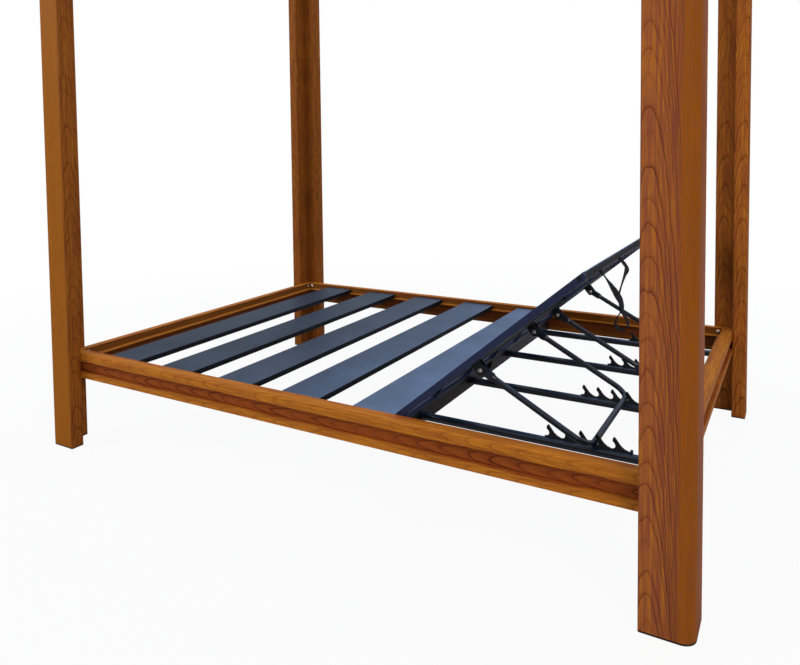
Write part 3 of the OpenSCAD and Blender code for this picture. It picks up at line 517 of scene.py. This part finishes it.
# Out from the slots, across the bed and down, in millimetres, and the turn of the width from
# the bed's length, in degrees. The route goes down one limb, round the loop and up the other.
STRAP_ROUTE = [
    (0, SLOT_HALF, 0, 90), (6, SLOT_HALF, 7, 82), (13, 109, 17, 76), (20, 107, 28, 83),
    (27, 103, 40, 95), (33, 94, 54, 98), (36, 76, 68, 94), (37, 53, 82, 92), (37, 35, 96, 95),
    (37, 25, 110, 97), (37.5, 21, 122, 94), (43, 20, 132, 90), (49, 20, 143, 90),
    (51, 20, 154, 90), (47, 20, 165, 90), (35, 20, 171, 90), (23, 20, 165, 90),
    (19, 20, 154, 90), (21, 20, 143, 90), (27, 20, 132, 90), (32.5, 20, 122, 90),
    (32, 19, 110, 90), (28, 14, 94, 89), (25.5, 5, 78, 86), (26.5, -10, 62, 85),
    (27.5, -30, 46, 86), (27, -54, 34, 87), (25, -76, 26, 88), (20, -94, 20, 90),
    (12.5, -105, 13, 90), (5.5, -SLOT_HALF, 6.3, 90), (0, -SLOT_HALF, 0, 90)]
ROUTE_STEPS = 4


def smooth_route(points, steps):
    """Points of a Catmull-Rom curve through the given ones, steps to each stretch."""
    ends = [points[0] * 2 - points[1]] + points + [points[-1] * 2 - points[-2]]
    made = []
    for i in range(1, len(ends) - 2):
        a, b, c, d = ends[i - 1:i + 3]
        for k in range(steps):
            t = k / steps
            made.append(0.5 * (2 * b + (c - a) * t + (2 * a - 5 * b + 4 * c - d) * t * t
                               + (3 * b - a - 3 * c + d) * t ** 3))
    return made + [points[-1]]


def strap_points(side):
    """The strap's middle line, and the direction of its width at each point of it."""
    slot = Vector(joints[side + "_strap_swing"]["pos_m"])
    mirror = -1 if side == "front" else 1
    middle = smooth_route([slot + Vector((out, mirror * across, -down)) * MM
                           for out, across, down, turn in STRAP_ROUTE], ROUTE_STEPS)
    turns = smooth_route([Vector((turn, 0, 0)) for out, across, down, turn in STRAP_ROUTE],
                         ROUTE_STEPS)
    widths = [Vector((math.cos(math.radians(t.x)), mirror * math.sin(math.radians(t.x)), 0))
              for t in turns]
    return middle, widths


print("the front strap's route has", len(strap_points("front")[0]), "points")

# %% [markdown]
# The section of the webbing is a thin flat band with thicker selvedges. A curve with a bevel
# would turn the width as it likes, so the ribbon is built ring by ring along the route. The
# sweep also marks each point with its place in the weave, across and along in metres, so that
# the threads follow the strap round its loop.

# %% Ribbon of webbing
WEB_W, WEB_T = 25 * MM, 2 * MM
# Place over half the width and share of half the thickness, from one selvedge to the other.
WEB_PROFILE = ((-1, 0.45), (-0.96, 0.9), (-0.88, 1), (-0.6, 0.8), (-0.2, 0.8),
               (0.2, 0.8), (0.6, 0.8), (0.88, 1), (0.96, 0.9), (1, 0.45))
SHARP_FROM = math.radians(50)


def sweep_webbing(name, side):
    """A closed ribbon along the strap's route with a UV map in metres, and its length."""
    middle, widths = strap_points(side)
    top = [(WEB_W / 2 * place, WEB_T / 2 * share) for place, share in WEB_PROFILE]
    section = top + [(u, -n) for u, n in reversed(top)]
    count = len(section)
    points, marks, run = [], [], 0.0
    for i, centre in enumerate(middle):
        ahead = middle[min(i + 1, len(middle) - 1)] - middle[max(i - 1, 0)]
        ahead.normalize()
        wide = (widths[i] - ahead * widths[i].dot(ahead)).normalized()
        proud = ahead.cross(wide)
        run += (centre - middle[i - 1]).length if i else 0.0
        points += [centre + wide * u + proud * n for u, n in section]
        marks += [(u, run) for u, n in section]
    faces = [[a * count + k, a * count + (k + 1) % count,
              (a + 1) * count + (k + 1) % count, (a + 1) * count + k]
             for a in range(len(middle) - 1) for k in range(count)]
    last = (len(middle) - 1) * count
    faces += [list(range(count))[::-1], [last + k for k in range(count)]]
    mesh = bpy.data.meshes.new(name)
    mesh.from_pydata(points, [], faces)
    layer = mesh.uv_layers.new(name="webbing")
    for loop in mesh.loops:
        layer.data[loop.index].uv = marks[loop.vertex_index]
    piece = bpy.data.objects.new(name, mesh)
    bpy.context.scene.collection.objects.link(piece)
    bpy.ops.object.select_all(action="DESELECT")
    piece.select_set(True)
    bpy.context.view_layer.objects.active = piece
    bpy.ops.object.mode_set(mode="EDIT")
    bpy.ops.mesh.select_all(action="SELECT")
    bpy.ops.mesh.normals_make_consistent(inside=False)
    bpy.ops.object.mode_set(mode="OBJECT")
    bpy.ops.object.shade_smooth_by_angle(angle=SHARP_FROM)
    return piece, run


print("webbing of", round(WEB_W / MM), "x", round(WEB_T / MM), "mm")

# %% [markdown]
# Polypropylene webbing is woven from black filament yarn. Its warp stands up in ribs along the
# tape, and the weft crosses them half a pick further on in every other rib, which gives the
# small chequer that catches the light. Real threads would take millions of faces, so the weave
# is a bump in the material, and the low places between threads are painted darker as painted
# shade. The yarn itself is dull and nearly black.

# %% Weave, and the two straps
# The rib and the pick of webbing of this width, drawn at their real size.
RIB, PICK = 1.5 * MM, 2.4 * MM
THREAD_LIT = 0.2


def polypropylene_webbing():
    """Black woven tape: ribs along it, crossed by picks that are staggered from rib to rib."""
    material, tree, surface = new_material("polypropylene_webbing", roughness=0.7,
                                           specular_ior_level=0.2)
    mark = add(tree, "ShaderNodeTexCoord", out="UV")
    weave = add(tree, "ShaderNodeSeparateXYZ", (mark,), None)
    rib = add(tree, "ShaderNodeMath", (weave["X"], 1 / RIB), operation="MULTIPLY")
    column = add(tree, "ShaderNodeMath", (rib,), operation="FLOOR")
    stagger = add(tree, "ShaderNodeMath", (column, 0.5), operation="MULTIPLY")
    pick = add(tree, "ShaderNodeMath", (weave["Y"], 1 / PICK, stagger),
               operation="MULTIPLY_ADD")
    over_rib = add(tree, "ShaderNodeMath", (rib, 0.5), operation="PINGPONG")
    over_pick = add(tree, "ShaderNodeMath", (pick, 0.5), operation="PINGPONG")
    thread = add(tree, "ShaderNodeMath", (over_rib, over_pick), operation="MULTIPLY")
    # Painted shade: low places between the threads are painted darker, raised ones lighter.
    shade = add(tree, "ShaderNodeMapRange", (thread, 0.0, THREAD_LIT))
    yarn = add(tree, "ShaderNodeMix", {0: shade, 6: hex_colour("#020203"),
                                       7: hex_colour("#0d0e11")}, 2, data_type="RGBA")
    tree.links.new(yarn, surface.inputs["Base Color"])
    bump = add(tree, "ShaderNodeBump", {"Height": thread, "Strength": 0.7,
                                        "Distance": 0.5 * MM})
    tree.links.new(bump, surface.inputs["Normal"])
    return material


webbing = polypropylene_webbing()
for side in ("front", "rear"):
    strap, strap_length = sweep_webbing(side + "_pull_strap", side)
    strap.data.materials.append(webbing)
    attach(strap, side + "_strap")
    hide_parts(side + "_strap")
    print(strap.name, "is", round(strap_length, 3), "m long")

# %% [markdown]
# The bed stands on a plain pale floor before a white background. A brighter lamp on the floor
# would whiten it but bleach the bed as well. So the floor shows the camera a white of its own,
# wholly so from a few metres out, and under the bed it lets a little of its matt surface
# through, which keeps the bed's soft shadow.

# %% Floor
FLOOR_SIZE = 60
SHADOW_TO, WHITE_FROM = 1.5, 4.0
WHITE_UNDER_BED = 0.94

bpy.ops.object.select_all(action="DESELECT")
bpy.ops.mesh.primitive_plane_add(size=FLOOR_SIZE, location=(0, 0, 0))
floor = bpy.context.object
floor.name = "floor"
pale = bpy.data.materials.new("pale_floor")
pale.use_nodes = True
tree = pale.node_tree
tree.nodes.clear()
seen = add(tree, "ShaderNodeLightPath", out="Is Camera Ray")
spot = add(tree, "ShaderNodeTexCoord", out="Object")
away = add(tree, "ShaderNodeVectorMath", (spot,), "Value", operation="LENGTH")
whiteness = add(tree, "ShaderNodeMapRange",
                (away, SHADOW_TO, WHITE_FROM, WHITE_UNDER_BED, 1.0))
seen_white = add(tree, "ShaderNodeMath", (seen, whiteness), operation="MULTIPLY")
matt = add(tree, "ShaderNodeBsdfDiffuse", {"Color": hex_colour("#bcbcbc")})
white = add(tree, "ShaderNodeEmission", {"Color": hex_colour("#ffffff"), "Strength": 1.0})
shown = add(tree, "ShaderNodeMixShader", (seen_white, matt, white))
add(tree, "ShaderNodeOutputMaterial", (shown,), None)
floor.data.materials.append(pale)
print("the floor shows plain white from", WHITE_FROM, "m out")

# %% [markdown]
# The world is white to the camera and through glass, and lights the bed at a plain level.
# Mirror-like rays see it white overhead and darker towards the horizon, as they would see a
# large soft box over the bed. An even white world is simpler, but it would turn the glossy
# black tubes grey.

# %% World
BOX_FROM = 0.5
HORIZON = 0.12
AMBIENT = 0.35

world = bpy.data.worlds.new("studio")
world.use_nodes = True
bpy.context.scene.world = world
tree = world.node_tree
tree.nodes.clear()
rays = add(tree, "ShaderNodeLightPath", out=None)
direct = add(tree, "ShaderNodeMath", (rays["Is Camera Ray"], rays["Is Transmission Ray"]),
             operation="MAXIMUM")
direction = add(tree, "ShaderNodeTexCoord", out="Generated")
climb = add(tree, "ShaderNodeSeparateXYZ", (direction,), "Z")
brightness = add(tree, "ShaderNodeMapRange", (climb, 0.0, BOX_FROM, HORIZON, 1.0))
ambient = add(tree, "ShaderNodeBackground", {"Color": hex_colour("#f3f9ff"),
                                             "Strength": AMBIENT})
soft_box = add(tree, "ShaderNodeBackground", {"Color": hex_colour("#f1f8ff"),
                                              "Strength": brightness})
backdrop = add(tree, "ShaderNodeBackground", {"Color": hex_colour("#ffffff"), "Strength": 1.0})
lit = add(tree, "ShaderNodeMixShader", (rays["Is Glossy Ray"], ambient, soft_box))
sky = add(tree, "ShaderNodeMixShader", (direct, lit, backdrop))
add(tree, "ShaderNodeOutputWorld", (sky,), None)
print("the world lights the bed at a strength of", AMBIENT)

# %% [markdown]
# Four large lamps stand round the bed like soft boxes in a studio: a warm one and a neutral one
# before it, a blue one over it for the sky's part, and one behind it that opens the shade under
# the raised backrests. The world alone could light it, but without lamps the profiles would
# lose their modelling. The lamp behind stays out of reflections, because seen almost edge on it
# would draw a hard white rim along every tube.

# %% Lamps
LAMP_SIZE = 3.0
BED_MIDDLE = Vector((0, 0, 0.5))


def soft_lamp(name, place, power, colour, mirrored=True):
    """A square area lamp that faces the middle of the bed. One that isn't mirrored lights the
    bed and leaves no highlights on it."""
    light = bpy.data.lights.new(name, "AREA")
    light.size = LAMP_SIZE
    light.energy = power
    light.color = hex_colour(colour)[:3]
    lamp = bpy.data.objects.new(name, light)
    lamp.location = place
    lamp.rotation_euler = (BED_MIDDLE - Vector(place)).to_track_quat("-Z", "Y").to_euler()
    lamp.visible_glossy = mirrored
    bpy.context.scene.collection.objects.link(lamp)


soft_lamp("right", (5.4, -4.2, 4.2), 245, "#fff0e0")
soft_lamp("left", (-5.0, -4.8, 4.2), 280, "#fbf8ff")
soft_lamp("overhead", (0.6, 1.0, 5.5), 100, "#b4caff")
soft_lamp("back", (0.0, 6.5, 3.2), 230, "#f6f8ff", mirrored=False)
print(len(bpy.data.lights), "lamps light the bed")
